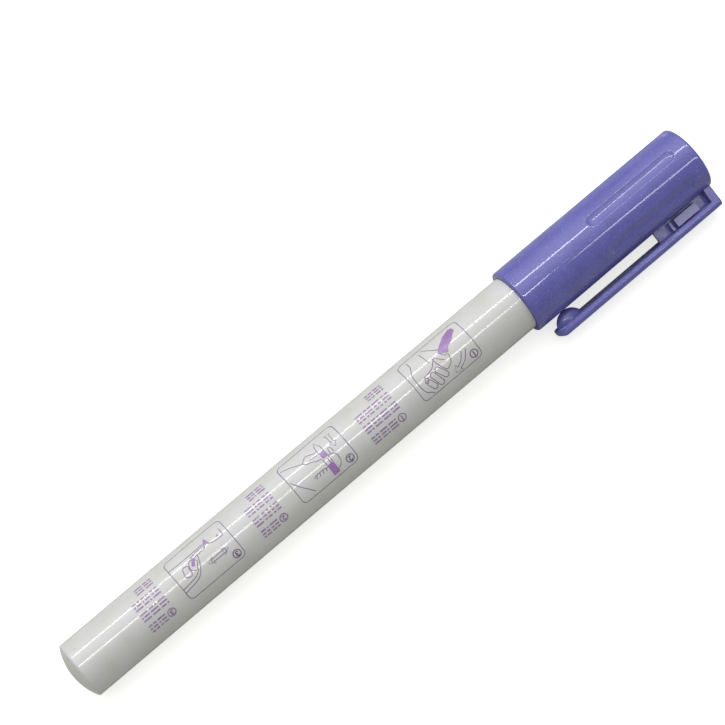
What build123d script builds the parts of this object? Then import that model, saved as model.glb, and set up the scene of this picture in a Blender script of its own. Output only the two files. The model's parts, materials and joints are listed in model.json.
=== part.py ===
from build123d import *

import math
import os

# A capped fabric marking pen, lying on its side. A white barrel with a domed tail holds a wrapped
# fibre ink reservoir. A nib holder is pressed into the barrel's open end and grips the fibre nib.
# The violet cap slides over the barrel's seat, a liner inside it seals the nib, and a springy clip
# runs along it. X is the pen's axis, towards the cap's top, and Z is up. The origin is on the
# axis, halfway along the barrel's bare stretch.

os.makedirs("parts", exist_ok=True)

# Driving dimensions, in millimetres
total_length = 140.0
cap_length = 40.5
barrel_radius = 5.4
cap_radius = 6.35
dome_height = 1.45
barrel_wall = 1.1
nib_radius = 0.95
clip_width = 4.6
clip_inner_radius = 8.4
clip_outer_radius = 10.05

# Lengths of the stretches inside the cap, one after another from its mouth
seat_length = 12.5
seal_length = 6.5
cone_length = 9.0
nose_length = 3.5
nib_out = 3.5

# Fits
seat_clearance = 0.05
seal_clearance = 0.10
clip_clearance = 0.05
nib_clearance = 0.02
film_clearance = 0.02

# Stations along the axis
bare_length = total_length - cap_length - dome_height
rim_x = -bare_length / 2
tail_x = rim_x - dome_height
mouth_x = bare_length / 2
top_x = mouth_x + cap_length
barrel_end_x = mouth_x + seat_length
seal_end_x = barrel_end_x + seal_length
nose_x = seal_end_x + cone_length
nose_tip_x = nose_x + nose_length
nib_tip_x = nose_tip_x + nib_out

# The cap and the outer edge of the clip rest on the table together, and that turns the clip this
# far round from straight up. The clip's edge is rounded, so it is the round that touches.
clip_edge_round = 0.8
edge_reach = math.hypot(clip_outer_radius - clip_edge_round, clip_width / 2 - clip_edge_round)
edge_angle = math.atan2(clip_width / 2 - clip_edge_round, clip_outer_radius - clip_edge_round)
rest_angle = math.acos(-(cap_radius - clip_edge_round) / edge_reach)
clip_angle = math.degrees(rest_angle - edge_angle)

# Three planes for the clip: its side view, its view from outside, and its section, looking along
# the pen. In the first and the last, Y is the clip's outward direction.
clip_side = Plane.XZ.rotated((clip_angle, 0, 0))
clip_face = Plane.XY.rotated((clip_angle, 0, 0))
clip_section = Plane.YZ.rotated((clip_angle, 0, 0))


# Barrel: one moulded tube, closed at the tail, with a seat for the cap at its open end
bore_radius = barrel_radius - barrel_wall
seat_radius = 5.15
shoulder_x = mouth_x - seat_clearance
tail_wall = 1.5
bore_bottom_x = rim_x + tail_wall
stop_count = 4
stop_length = 5.4
stop_inner_radius = 2.2
rib_count = 6
rib_width = 0.8
rib_inner_radius = 4.02
rib_start_x = bore_bottom_x + stop_length
rib_length = 88.0
into_wall = 0.3
rim_round = 0.45
end_chamfer = 0.25

with BuildPart() as barrel:
    with BuildSketch(Plane.XZ) as barrel_profile:
        with BuildLine():
            TangentArc((tail_x, 0), (rim_x, barrel_radius), tangent=(0, 1))
            Polyline(
                (rim_x, barrel_radius),
                (shoulder_x, barrel_radius),
                (shoulder_x, seat_radius),
                (barrel_end_x, seat_radius),
                (barrel_end_x, bore_radius),
                (bore_bottom_x, bore_radius),
                (bore_bottom_x, 0),
                (tail_x, 0),
            )
        make_face()
        rim_corner = barrel_profile.vertices().group_by(Axis.Y)[-1].sort_by(Axis.X)[0]
        fillet(rim_corner, rim_round)
    revolve(axis=Axis.X)
    chamfer(barrel.faces().sort_by(Axis.X)[-1].outer_wire().edges(), end_chamfer)
    # Low ribs hold the reservoir clear of the wall, so that air can pass along it
    with BuildSketch(Plane.YZ.offset(rib_start_x)):
        with PolarLocations((rib_inner_radius + bore_radius + into_wall) / 2, rib_count):
            Rectangle(bore_radius + into_wall - rib_inner_radius, rib_width)
    extrude(amount=rib_length)
    # Deeper fins at the closed end stop the reservoir short of the tail
    with BuildSketch(Plane.YZ.offset(bore_bottom_x - into_wall)):
        with PolarLocations((stop_inner_radius + bore_radius + into_wall) / 2, stop_count):
            Rectangle(bore_radius + into_wall - stop_inner_radius, rib_width)
    extrude(amount=rib_start_x - bore_bottom_x)
barrel.part.label = "barrel"
export_step(barrel.part, "parts/barrel.step")


# Front section: the nib holder, a plug pressed into the barrel and a tapered nose outside it
plug_length = 10.0
plug_start_x = barrel_end_x - plug_length
plug_inner_radius = 3.3
flange_radius = 4.95
flange_thickness = 1.0
flange_x = barrel_end_x + flange_thickness
seal_radius = 4.52
bead_height = 0.08
bead_x = flange_x + 2.6
bead_half_length = 0.6
nose_radius = 1.9
nose_tip_radius = 1.65
nose_round = 0.3
nib_hole_radius = nib_radius + nib_clearance
funnel_length = 6.0
funnel_x = barrel_end_x + funnel_length
vent_count = 3
vent_width = 0.4
vent_depth = 0.35
notch_count = 4
notch_width = 1.2
notch_depth = 1.5

with BuildPart() as front_section:
    with BuildSketch(Plane.XZ) as front_profile:
        with BuildLine():
            Polyline(
                (nose_tip_x, nib_hole_radius),
                (funnel_x, nib_hole_radius),
                (barrel_end_x, plug_inner_radius),
                (plug_start_x, plug_inner_radius),
                (plug_start_x, bore_radius),
                (barrel_end_x, bore_radius),
                (barrel_end_x, flange_radius),
                (flange_x, flange_radius),
                (flange_x, seal_radius),
                (bead_x - bead_half_length, seal_radius),
            )
            ThreePointArc(
                (bead_x - bead_half_length, seal_radius),
                (bead_x, seal_radius + bead_height),
                (bead_x + bead_half_length, seal_radius),
            )
            Polyline(
                (bead_x + bead_half_length, seal_radius),
                (seal_end_x, seal_radius),
                (nose_x, nose_radius),
                (nose_tip_x, nose_tip_radius),
                (nose_tip_x, nib_hole_radius),
            )
        make_face()
        nose_corner = front_profile.vertices().group_by(Axis.X)[-1].sort_by(Axis.Y)[-1]
        fillet(nose_corner, nose_round)
    revolve(axis=Axis.X)
    # Air gets in past the nib through grooves in its hole
    with BuildSketch(Plane.YZ.offset(barrel_end_x)):
        with PolarLocations(nib_hole_radius, vent_count):
            Rectangle(2 * vent_depth, vent_width)
    extrude(amount=nose_tip_x - barrel_end_x, mode=Mode.SUBTRACT)
    # Notches in the plug's rear edge let air past the end of the reservoir
    with BuildSketch(Plane.YZ.offset(plug_start_x)):
        with PolarLocations((plug_inner_radius + bore_radius) / 2, notch_count, start_angle=45):
            Rectangle(2 * (bore_radius - plug_inner_radius), notch_width)
    extrude(amount=notch_depth, mode=Mode.SUBTRACT)
front_section.part.label = "front_section"
export_step(front_section.part, "parts/front_section.step")


# Nib: a bonded fibre rod with a bullet tip, whose rear end is pushed into the reservoir
nib_pushed_in = 8.0
nib_start_x = plug_start_x - nib_pushed_in
nib_tail_radius = 0.65
nib_tail_length = 0.6
nib_tip_flat = 0.25
nib_taper = 1.5

with BuildPart() as nib:
    with BuildSketch(Plane.XZ):
        with BuildLine():
            Polyline(
                (nib_tip_x, 0),
                (nib_start_x, 0),
                (nib_start_x, nib_tail_radius),
                (nib_start_x + nib_tail_length, nib_radius),
                (nib_tip_x - nib_taper, nib_radius),
            )
            Bezier(
                (nib_tip_x - nib_taper, nib_radius),
                (nib_tip_x - nib_taper / 2, nib_radius),
                (nib_tip_x, nib_radius / 2),
                (nib_tip_x, nib_tip_flat),
            )
            Line((nib_tip_x, nib_tip_flat), (nib_tip_x, 0))
        make_face()
    revolve(axis=Axis.X)
nib.part.label = "nib"
export_step(nib.part, "parts/nib.step")


# Ink reservoir: a bundle of polyester fibre that the barrel's fins and the plug hold lengthwise
film_radius = rib_inner_radius - film_clearance
film_thickness = 0.1
reservoir_radius = film_radius - film_thickness
reservoir_gap = 0.3
reservoir_start_x = rib_start_x
reservoir_end_x = plug_start_x - reservoir_gap

with BuildPart() as ink_reservoir:
    with BuildSketch(Plane.YZ.offset(reservoir_start_x)):
        Circle(reservoir_radius)
    extrude(amount=reservoir_end_x - reservoir_start_x)
    # The nib's rear end has pressed its own hole into the fibre
    with BuildSketch(Plane.XZ):
        with BuildLine():
            Polyline(
                (nib_start_x, 0),
                (reservoir_end_x, 0),
                (reservoir_end_x, nib_radius),
                (nib_start_x + nib_tail_length, nib_radius),
                (nib_start_x, nib_tail_radius),
                (nib_start_x, 0),
            )
        make_face()
    revolve(axis=Axis.X, mode=Mode.SUBTRACT)
ink_reservoir.part.label = "ink_reservoir"
export_step(ink_reservoir.part, "parts/ink_reservoir.step")


# Reservoir film: the clear wrap that keeps the ink in the fibre, open at both ends
with BuildPart() as reservoir_film:
    with BuildSketch(Plane.YZ.offset(reservoir_start_x)):
        Circle(film_radius)
        Circle(reservoir_radius, mode=Mode.SUBTRACT)
    extrude(amount=reservoir_end_x - reservoir_start_x)
reservoir_film.part.label = "reservoir_film"
export_step(reservoir_film.part, "parts/reservoir_film.step")


# Inner cap: the soft liner that closes round the nib holder and keeps the nib wet
cap_inner_radius = 5.05
liner_radius = cap_inner_radius - seat_clearance
liner_bore_radius = seal_radius + seal_clearance
liner_gap = 0.3
liner_start_x = flange_x + liner_gap
liner_cone_x = seal_end_x + 0.5
liner_shoulder_x = seal_end_x + 2.0
liner_neck_x = nose_x + 0.5
liner_neck_bore_radius = 2.5
liner_neck_radius = 3.3
nib_room = 1.5
liner_bore_end_x = nib_tip_x + nib_room
liner_end_wall = 1.1
liner_end_x = liner_bore_end_x + liner_end_wall
liner_chamfer = 0.15
fin_count = 6
fin_width = 0.7
fin_start_x = liner_neck_x + 1.0

with BuildPart() as inner_cap:
    with BuildSketch(Plane.XZ):
        with BuildLine():
            Polyline(
                (liner_start_x, liner_bore_radius),
                (liner_cone_x, liner_bore_radius),
                (liner_neck_x, liner_neck_bore_radius),
                (liner_bore_end_x, liner_neck_bore_radius),
                (liner_bore_end_x, 0),
                (liner_end_x, 0),
                (liner_end_x, liner_neck_radius),
                (fin_start_x, liner_neck_radius),
                (liner_shoulder_x, liner_radius),
                (liner_start_x, liner_radius),
                (liner_start_x, liner_bore_radius),
            )
        make_face()
    revolve(axis=Axis.X)
    # Fins keep the narrow end of the liner in the middle of the cap
    with BuildSketch(Plane.YZ.offset(fin_start_x)):
        with PolarLocations((liner_neck_radius + liner_radius - into_wall) / 2, fin_count):
            Rectangle(liner_radius - liner_neck_radius + into_wall, fin_width)
        Circle(liner_radius, mode=Mode.INTERSECT)
    extrude(amount=liner_end_x - fin_start_x)
    chamfer(inner_cap.faces().sort_by(Axis.X)[0].inner_wires()[0].edges(), liner_chamfer)
inner_cap.part.label = "inner_cap"
export_step(inner_cap.part, "parts/inner_cap.step")


# Cap shell: the moulded outer cap, with sunk panels for grip and the root that the clip grows from
cap_bore_radius = seat_radius + seat_clearance
cap_top_radius = 6.30
cap_top_wall = 1.4
cap_ceiling_x = top_x - cap_top_wall
cap_step_x = barrel_end_x + 0.3
top_round = 0.5
lip_round = 0.35
panel_start_x = mouth_x + 17.3
panel_length = 20.0
panel_width = 2.4
panel_floor_radius = 5.95
panel_pitch = 60
overcut = 1.0
web_start_x = mouth_x + 26.9
root_end_x = mouth_x + 39.9
end_wall = 1.5
web_width = 1.2
split_x = web_start_x - 0.4
pad_start_x = mouth_x + 31.0
pad_length = 4.9
pad_inner_radius = 6.6
pad_outer_radius = 8.15
pad_width = 3.4
key_rib_x = mouth_x + 29.8
key_rib_length = 0.4
clip_middle_radius = (clip_inner_radius + clip_outer_radius) / 2


def clip_bar(start_x, end_x):
    """A length of the clip's bar, flat underneath and rounded along its outer edges."""
    with BuildPart() as bar:
        with BuildSketch(clip_section.offset(start_x)) as section:
            with Locations((0, clip_middle_radius)):
                Rectangle(clip_width, clip_outer_radius - clip_inner_radius)
            fillet(section.vertices().sort_by(Axis.Y)[-2:], clip_edge_round)
        extrude(amount=end_x - start_x)
    return bar.part


fixed_bar = clip_bar(split_x, root_end_x)

with BuildPart() as cap_shell:
    with BuildSketch(Plane.XZ) as cap_profile:
        with BuildLine():
            Polyline(
                (mouth_x, cap_bore_radius),
                (mouth_x, cap_radius),
                (top_x, cap_top_radius),
                (top_x, 0),
                (cap_ceiling_x, 0),
                (cap_ceiling_x, cap_inner_radius),
                (cap_step_x, cap_inner_radius),
                (cap_step_x, cap_bore_radius),
                (mouth_x, cap_bore_radius),
            )
        make_face()
        outer_corners = cap_profile.vertices().group_by(Axis.Y)
        fillet(outer_corners[-1], lip_round)
        fillet(outer_corners[-2].sort_by(Axis.X)[-1], top_round)
    revolve(axis=Axis.X)
    # A panel on every sixth of the way round, apart from under the clip
    for panel in range(1, 6):
        panel_plane = Plane.XY.rotated((clip_angle + panel * panel_pitch, 0, 0))
        with BuildSketch(panel_plane.offset(panel_floor_radius)):
            with Locations((panel_start_x + panel_length / 2, 0)):
                SlotOverall(panel_length, panel_width)
        extrude(amount=cap_radius - panel_floor_radius + overcut, mode=Mode.SUBTRACT)
    # The fixed end of the clip's bar, and the wall that joins it to the cap
    add(fixed_bar)
    with BuildSketch(clip_face.offset(cap_inner_radius + into_wall)):
        with Locations((root_end_x - end_wall / 2, 0)):
            Rectangle(end_wall, clip_width)
    extrude(amount=clip_middle_radius - cap_inner_radius - into_wall)
    # The thin web stands between the cap and the bar, with an open pocket on either side of it
    with BuildSketch(clip_face.offset(cap_inner_radius + into_wall)):
        with Locations(((web_start_x + root_end_x - end_wall / 2) / 2, 0)):
            Rectangle(root_end_x - end_wall / 2 - web_start_x, web_width)
    extrude(amount=clip_inner_radius - cap_inner_radius)
    # A block and a thin rib stand out from the web inside the pockets
    with BuildSketch(clip_face.offset(pad_inner_radius)):
        with Locations((pad_start_x + pad_length / 2, 0)):
            Rectangle(pad_length, pad_width)
        with Locations((key_rib_x + key_rib_length / 2, 0)):
            Rectangle(key_rib_length, pad_width)
    extrude(amount=pad_outer_radius - pad_inner_radius)
cap_shell.part.label = "cap_shell"
export_step(cap_shell.part, "parts/cap_shell.step")


# Clip: the springy bar beside the cap, with a round bump under its tip that grips the cloth
clip_tip_x = mouth_x + 2.3
clip_end_x = split_x - clip_clearance
bump_x = mouth_x + 5.6
bump_length = 5.4
bump_peak_radius = cap_radius + clip_clearance
tip_inner_round = 0.35
tip_outer_round = 1.2
tip_corner_round = 1.6
clip_length = clip_end_x - clip_tip_x
clip_middle_x = (clip_end_x + clip_tip_x) / 2

free_bar = clip_bar(clip_tip_x, clip_end_x)

with BuildPart() as clip:
    add(free_bar)
    # The tip is rounded in the side view, more on the outside than underneath
    with BuildSketch(clip_side.offset(-clip_width)) as side_view:
        with Locations((clip_middle_x, clip_middle_radius)):
            Rectangle(clip_length, clip_outer_radius - clip_inner_radius)
        tip_corners = side_view.vertices().group_by(Axis.X)[0].sort_by(Axis.Y)
        fillet(tip_corners[0], tip_inner_round)
        tip_corners = side_view.vertices().group_by(Axis.Y)[-1].sort_by(Axis.X)
        fillet(tip_corners[0], tip_outer_round)
    extrude(amount=2 * clip_width, mode=Mode.INTERSECT)
    # and in the view from outside
    with BuildSketch(clip_face) as outside_view:
        with Locations((clip_middle_x, 0)):
            Rectangle(clip_length, clip_width)
        fillet(outside_view.vertices().group_by(Axis.X)[0], tip_corner_round)
    extrude(amount=2 * clip_outer_radius, mode=Mode.INTERSECT)
    # The bump is the lower half of a spindle that lies along the bar
    with BuildSketch(clip_side):
        with BuildLine():
            ThreePointArc(
                (bump_x - bump_length / 2, clip_inner_radius),
                (bump_x, bump_peak_radius),
                (bump_x + bump_length / 2, clip_inner_radius),
            )
            Line(
                (bump_x + bump_length / 2, clip_inner_radius),
                (bump_x - bump_length / 2, clip_inner_radius),
            )
        make_face()
    bump_centre = clip_side.from_local_coords((bump_x, clip_inner_radius, 0))
    revolve(axis=Axis(bump_centre, (1, 0, 0)))
    # and what of its upper half stands out through the bar is cut off level
    with BuildSketch(clip_face.offset(clip_outer_radius)):
        with Locations((bump_x, 0)):
            Rectangle(bump_length, clip_width)
    extrude(amount=bump_length, mode=Mode.SUBTRACT)
clip.part.label = "clip"
export_step(clip.part, "parts/clip.step")
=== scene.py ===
import json
import math
import random

import bmesh
import bpy
from mathutils import Matrix, Quaternion, Vector


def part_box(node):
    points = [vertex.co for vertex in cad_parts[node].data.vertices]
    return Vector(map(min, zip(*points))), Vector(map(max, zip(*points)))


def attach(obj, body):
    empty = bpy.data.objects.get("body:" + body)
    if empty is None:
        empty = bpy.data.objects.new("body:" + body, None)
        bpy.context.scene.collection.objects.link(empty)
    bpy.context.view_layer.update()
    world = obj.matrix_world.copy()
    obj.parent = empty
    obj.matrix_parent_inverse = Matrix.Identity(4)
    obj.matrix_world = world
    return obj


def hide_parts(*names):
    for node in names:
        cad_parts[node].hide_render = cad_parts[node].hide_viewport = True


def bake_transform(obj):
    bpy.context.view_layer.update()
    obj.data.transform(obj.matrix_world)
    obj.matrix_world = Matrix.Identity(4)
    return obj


# A capped fabric marking pen lying on a table. X is the pen's axis, from the domed tail to the
# cap's top, and Z is up. The sections follow the pen as it is put together, from the ink outwards,
# and the table, the lights and the camera come last.
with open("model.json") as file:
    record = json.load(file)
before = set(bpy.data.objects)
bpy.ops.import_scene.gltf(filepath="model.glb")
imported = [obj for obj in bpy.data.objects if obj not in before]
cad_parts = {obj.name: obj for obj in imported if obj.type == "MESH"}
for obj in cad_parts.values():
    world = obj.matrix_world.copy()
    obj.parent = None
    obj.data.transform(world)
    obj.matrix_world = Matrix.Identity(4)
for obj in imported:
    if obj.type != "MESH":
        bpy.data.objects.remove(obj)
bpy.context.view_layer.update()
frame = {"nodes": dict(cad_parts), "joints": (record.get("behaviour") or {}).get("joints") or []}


# Ink reservoir: a bundle of polyester fibre soaked with violet ink, cut to length and pushed into
# the barrel. It and its wrap are never seen, so both keep the shape they have in the frame.
ink_violet = (0.30, 0.13, 0.50, 1)
ink_pale = (0.52, 0.38, 0.70, 1)


def add_node(tree, kind, **inputs):
    """A shader node. Its inputs are given by name, each as a number, a colour or a socket."""
    made = tree.nodes.new("ShaderNode" + kind)
    for name, value in inputs.items():
        socket = made.inputs[name.replace("_", " ")]
        if isinstance(value, bpy.types.NodeSocket):
            tree.links.new(value, socket)
        else:
            socket.default_value = value
    return made


def sum_of(tree, operation, first, second):
    """The result of a sum on two values, each a number or a socket."""
    made = tree.nodes.new("ShaderNodeMath")
    made.operation = operation
    for place, value in enumerate((first, second)):
        if isinstance(value, bpy.types.NodeSocket):
            tree.links.new(value, made.inputs[place])
        else:
            made.inputs[place].default_value = value
    return made.outputs[0]


def band(tree, value, low, high, at_low=0.0, at_high=1.0):
    """A value stretched so that low to high becomes at_low to at_high, and held there beyond."""
    made = add_node(tree, "MapRange", Value=value, From_Min=low, From_Max=high,
                    To_Min=at_low, To_Max=at_high)
    return made.outputs["Result"]


def own_place(tree):
    """Places on the piece, in its own directions."""
    return add_node(tree, "TexCoord").outputs["Object"]


def noise(tree, place, scale, detail, **more):
    """Noise from 0 to 1 over the places, with about that many lumps to the metre."""
    made = add_node(tree, "TexNoise", Vector=place, Scale=scale, Detail=detail, **more)
    return made.outputs["Fac"]


def tinted(tree, mask, under, over):
    """The colour under, turning into the colour over where the mask is 1."""
    made = tree.nodes.new("ShaderNodeMix")
    made.data_type = "RGBA"
    for place, value in ((0, mask), (6, under), (7, over)):
        if isinstance(value, bpy.types.NodeSocket):
            tree.links.new(value, made.inputs[place])
        else:
            made.inputs[place].default_value = value
    return made.outputs[2]


def new_effect(name, inputs, outputs):
    """An empty node group for an effect that several materials share."""
    group = bpy.data.node_groups.new(name, "ShaderNodeTree")
    for label, value in inputs.items():
        made = group.interface.new_socket(label, in_out="INPUT", socket_type="NodeSocketFloat")
        made.default_value = value
    for label in outputs:
        group.interface.new_socket(label, in_out="OUTPUT", socket_type="NodeSocketFloat")
    return group, group.nodes.new("NodeGroupInput").outputs, group.nodes.new("NodeGroupOutput")


def use_effect(tree, group, **inputs):
    """A shared effect placed in a material, with that material's own values."""
    made = tree.nodes.new("ShaderNodeGroup")
    made.node_tree = group
    for name, value in inputs.items():
        made.inputs[name.replace("_", " ")].default_value = value
    return made.outputs


def new_material(name, **sockets):
    """A material with its shader; numbers and colours that are the same all over go on it here."""
    made = bpy.data.materials.new(name)
    made.use_nodes = True
    shader = made.node_tree.nodes["Principled BSDF"]
    for socket, value in sockets.items():
        shader.inputs[socket.replace("_", " ")].default_value = value
    return made, made.node_tree, shader


def raise_surface(tree, shader, height, depth):
    """Raises the surface by depth where height is 1, through the shader's normal."""
    bump = add_node(tree, "Bump", Height=height, Distance=depth)
    tree.links.new(bump.outputs["Normal"], shader.inputs["Normal"])


# Fine fibres that run along the pen, for the reservoir and the nib
fibres, given, result = new_effect("fibre_bundle", {"Along": 60.0, "Across": 4000.0},
                                   ("Height", "Stain"))
place = own_place(fibres)
stretch = add_node(fibres, "CombineXYZ", X=given["Along"], Y=given["Across"], Z=given["Across"])
stretched = add_node(fibres, "VectorMath")
stretched.operation = "MULTIPLY"
fibres.links.new(place, stretched.inputs[0])
fibres.links.new(stretch.outputs[0], stretched.inputs[1])
strands = noise(fibres, stretched.outputs[0], 1.0, 3.0)
soak = noise(fibres, place, 420.0, 2.0)
fibres.links.new(strands, result.inputs["Height"])
mixed = sum_of(fibres, "ADD", sum_of(fibres, "MULTIPLY", strands, 0.5),
               sum_of(fibres, "MULTIPLY", soak, 0.5))
fibres.links.new(band(fibres, mixed, 0.35, 0.65), result.inputs["Stain"])

reservoir_fibre, tree, shader = new_material("reservoir_fibre", Roughness=0.85)
bundle = use_effect(tree, fibres, Along=90.0, Across=3000.0)
colour = tinted(tree, bundle["Stain"], ink_violet, ink_pale)
tree.links.new(colour, shader.inputs["Base Color"])
raise_surface(tree, shader, bundle["Height"], 0.00006)

# The clear film round the fibre: a thin plastic tube, lightly creased from being wrapped
film_clear, tree, shader = new_material("film_clear", Base_Color=(0.9, 0.88, 0.95, 1), IOR=1.49,
                                        Transmission_Weight=0.85)
creases = noise(tree, own_place(tree), 700.0, 4.0)
tree.links.new(band(tree, creases, 0.3, 0.7, 0.12, 0.3), shader.inputs["Roughness"])
raise_surface(tree, shader, creases, 0.00004)

for node_name, finish in (("ink_reservoir", reservoir_fibre), ("reservoir_film", film_clear)):
    mesh = frame["nodes"][node_name].data
    mesh.materials.clear()
    mesh.materials.append(finish)


# Barrel: a white tube moulded in one with its domed tail. At its open end it steps down to a seat
# for the cap. Inside, ribs hold the reservoir clear of the wall and stops keep it off the bottom.
barrel_low, barrel_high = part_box("barrel")
mouth_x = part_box("cap_shell")[0].x
tail_x = barrel_low.x
barrel_end_x = barrel_high.x
barrel_radius = barrel_high.z
seat_radius = 0.00515
bore_radius = 0.0043
dome_height = 0.00145
dome_radius = (dome_height**2 + barrel_radius**2) / (2 * dome_height)
dome_steps = 16
rim_x = tail_x + dome_height
rim_round = 0.00028
shoulder_x = mouth_x - 0.00005
shoulder_round = 0.00006
seat_lead_in = 0.00025
bore_bottom_x = rim_x + 0.0015
rib_start_x = bore_bottom_x + 0.0054
rib_length = 0.088
rib_half_width = 0.0004
rib_inner_radius = 0.00402
rib_foot = 0.0045
stop_inner_radius = 0.0022
barrel_white = (0.655, 0.655, 0.66, 1)
barrel_aged = (0.62, 0.615, 0.59, 1)
scuffed_white = (0.74, 0.74, 0.74, 1)
speck_grey = (0.42, 0.41, 0.40, 1)


def spin_round(bm, steps):
    """Spins an outline about the pen's axis into a closed skin, facing outwards."""
    bmesh.ops.spin(bm, geom=bm.verts[:] + bm.edges[:], cent=(0, 0, 0), axis=(1, 0, 0),
                   angle=math.tau, steps=steps, use_merge=True)
    bmesh.ops.remove_doubles(bm, verts=bm.verts, dist=1e-7)
    bmesh.ops.recalc_face_normals(bm, faces=bm.faces)


def outline(points, rounds=(), closed=False):
    """An outline of (x, radius) corners. rounds gives (corner's number, size, steps)."""
    bm = bmesh.new()
    corners = [bm.verts.new((x, 0, radius)) for x, radius in points]
    for first, second in zip(corners, corners[1:]):
        bm.edges.new((first, second))
    if closed:
        bm.edges.new((corners[-1], corners[0]))
    for number, size, steps in rounds:
        bmesh.ops.bevel(bm, geom=[corners[number]], offset=size, offset_type="OFFSET",
                        segments=steps, profile=0.5, affect="VERTICES", material=-1)
    return bm


def add_bar(bm, low, high, turn):
    """A straight-sided rib, from low to high as if on top of the pen, turned about its axis."""
    low = Vector(low)
    high = Vector(high)
    size = Matrix.Diagonal((high - low).to_4d())
    place = Matrix.Rotation(turn, 4, "X") @ Matrix.Translation((low + high) / 2) @ size
    bmesh.ops.create_cube(bm, size=1, matrix=place)


def finished(name, bm, *materials):
    """A smooth, lit-ready object made from the bmesh, with flat faces kept flat."""
    mesh = bpy.data.meshes.new(name)
    bm.to_mesh(mesh)
    bm.free()
    mesh.shade_smooth()
    mesh.set_sharp_from_angle(angle=math.radians(38))
    for material in materials:
        mesh.materials.append(material)
    made = bpy.data.objects.new(name, mesh)
    bpy.context.scene.collection.objects.link(made)
    made.modifiers.new("even_shading", "WEIGHTED_NORMAL").keep_sharp = True
    return made


dome_points = []
dome_sweep = math.asin(barrel_radius / dome_radius)
for step in range(dome_steps + 1):
    angle = dome_sweep * step / dome_steps
    dome_points.append((tail_x + dome_radius * (1 - math.cos(angle)),
                        dome_radius * math.sin(angle)))
bm = outline(
    dome_points + [
        (shoulder_x, barrel_radius), (shoulder_x, seat_radius), (barrel_end_x, seat_radius),
        (barrel_end_x, bore_radius), (bore_bottom_x, bore_radius), (bore_bottom_x, 0),
    ],
    rounds=((dome_steps, rim_round, 8), (dome_steps + 1, shoulder_round, 4),
            (dome_steps + 3, seat_lead_in, 3)),
)
spin_round(bm, 144)
for rib in range(6):
    add_bar(bm, (rib_start_x, -rib_half_width, rib_inner_radius),
            (rib_start_x + rib_length, rib_half_width, rib_foot), rib * math.tau / 6)
for stop in range(4):
    add_bar(bm, (bore_bottom_x - 0.0003, -rib_half_width, stop_inner_radius),
            (rib_start_x, rib_half_width, rib_foot), stop * math.tau / 4)

# Moulded plastic: a faint slow waviness from shrinking, a fine skin like orange peel, and hairline
# scratches along the pen. It puts out a height, a roughness round the given one, and cloudiness.
moulded, given, result = new_effect("moulded_skin", {"Roughness": 0.2, "Peel": 1500.0},
                                    ("Height", "Roughness", "Cloud"))
place = own_place(moulded)
wave = noise(moulded, place, 110.0, 1.0)
peel = noise(moulded, place, given["Peel"], 2.0)
cloud = noise(moulded, place, 260.0, 5.0)
drawn_out = add_node(moulded, "Mapping", Vector=place, Scale=(45.0, 2300.0, 2300.0))
scratch = band(moulded, noise(moulded, drawn_out.outputs[0], 1.0, 2.0), 0.70, 0.76)
height = sum_of(moulded, "ADD", wave, sum_of(moulded, "MULTIPLY", peel, 0.035))
height = sum_of(moulded, "SUBTRACT", height, sum_of(moulded, "MULTIPLY", scratch, 0.05))
moulded.links.new(height, result.inputs["Height"])
rough = sum_of(moulded, "ADD", given["Roughness"], band(moulded, cloud, 0.3, 0.7, -0.03, 0.04))
rough = sum_of(moulded, "ADD", rough, sum_of(moulded, "MULTIPLY", scratch, 0.12))
moulded.links.new(rough, result.inputs["Roughness"])
moulded.links.new(band(moulded, cloud, 0.35, 0.65), result.inputs["Cloud"])

# Edge wear: outer edges that hands, tables and pencil cases have rubbed paler and duller
worn, given, result = new_effect("worn_edges", {"Start": 0.53, "End": 0.60}, ("Wear",))
edge = add_node(worn, "NewGeometry").outputs["Pointiness"]
patchy = noise(worn, own_place(worn), 900.0, 3.0)
rubbed = add_node(worn, "MapRange", Value=edge, From_Min=given["Start"], From_Max=given["End"])
worn.links.new(sum_of(worn, "MULTIPLY", rubbed.outputs["Result"], band(worn, patchy, 0.3, 0.6)),
               result.inputs["Wear"])

# Dust: sparse specks caught in and on the plastic. Size is their radius as a share of the spacing.
dust, given, result = new_effect("dust_specks", {"Spacing": 700.0, "Size": 0.07, "Share": 0.2},
                                 ("Specks",))
cells = add_node(dust, "TexVoronoi", Scale=given["Spacing"], Vector=own_place(dust))
dot = sum_of(dust, "LESS_THAN", cells.outputs["Distance"], given["Size"])
chosen = add_node(dust, "SeparateColor", Color=cells.outputs["Color"]).outputs["Red"]
kept = sum_of(dust, "LESS_THAN", chosen, given["Share"])
dust.links.new(sum_of(dust, "MULTIPLY", dot, kept), result.inputs["Specks"])

barrel_plastic, tree, shader = new_material("barrel_plastic", IOR=1.5)
skin = use_effect(tree, moulded, Roughness=0.12, Peel=1700.0)
wear = use_effect(tree, worn)
specks = use_effect(tree, dust, Spacing=420.0, Size=0.045, Share=0.22)
colour = tinted(tree, skin["Cloud"], barrel_white, barrel_aged)
colour = tinted(tree, wear["Wear"], colour, scuffed_white)
colour = tinted(tree, specks["Specks"], colour, speck_grey)
tree.links.new(colour, shader.inputs["Base Color"])
tree.links.new(skin["Roughness"], shader.inputs["Roughness"])
raise_surface(tree, shader, skin["Height"], 0.000006)

barrel_tube = finished("barrel_tube", bm, barrel_plastic)
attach(barrel_tube, "barrel")
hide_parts("barrel")


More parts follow.
